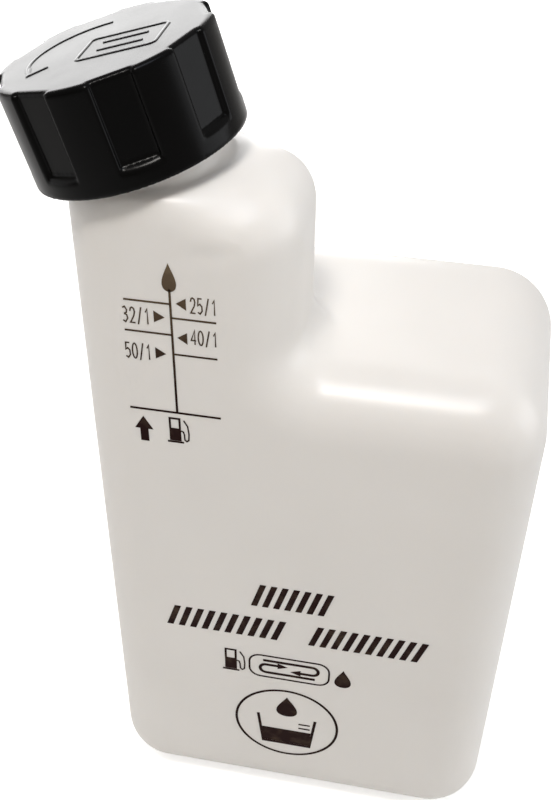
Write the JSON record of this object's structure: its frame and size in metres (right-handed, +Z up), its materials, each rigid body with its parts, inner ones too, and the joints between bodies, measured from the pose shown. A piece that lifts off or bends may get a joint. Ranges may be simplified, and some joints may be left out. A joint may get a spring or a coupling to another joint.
{
  "type": "fuel mixing bottle",
  "caption": "Blow-moulded bottle with a narrow measuring column beside a lower shoulder, and a tilted neck closed by a ribbed black screw cap.",
  "frame": {"origin": "centre of the flat base", "axes": "+Z up; the front with the scale faces -Y; the measuring column and the neck stand at -X"},
  "size_m": [0.1166, 0.072, 0.2176],
  "materials": {
    "bottle_plastic": "satin",
    "cap_plastic": "glossy",
    "liner": "matte"
  },
  "bodies": {
    "bottle": {"bottle": "bottle_plastic"},
    "liner": {"cap_liner": "liner"},
    "cap": {"screw_cap": "cap_plastic"}
  },
  "joints": [
    {"name": "cap_lift", "type": "slide", "parent": "bottle", "child": "liner", "axis": [-0.2924, 0, 0.9563], "range_m": [0, 0.04]},
    {"name": "cap_turn", "type": "hinge", "parent": "liner", "child": "cap", "pos_m": [-0.0377, -0.015, 0.1915], "axis": [-0.2924, 0, 0.9563], "range_deg": [0, 3420]}
  ],
  "couplings": [
    {"joint": "cap_lift", "follows": "cap_turn", "m_per_rad": 0.00066845}
  ]
}
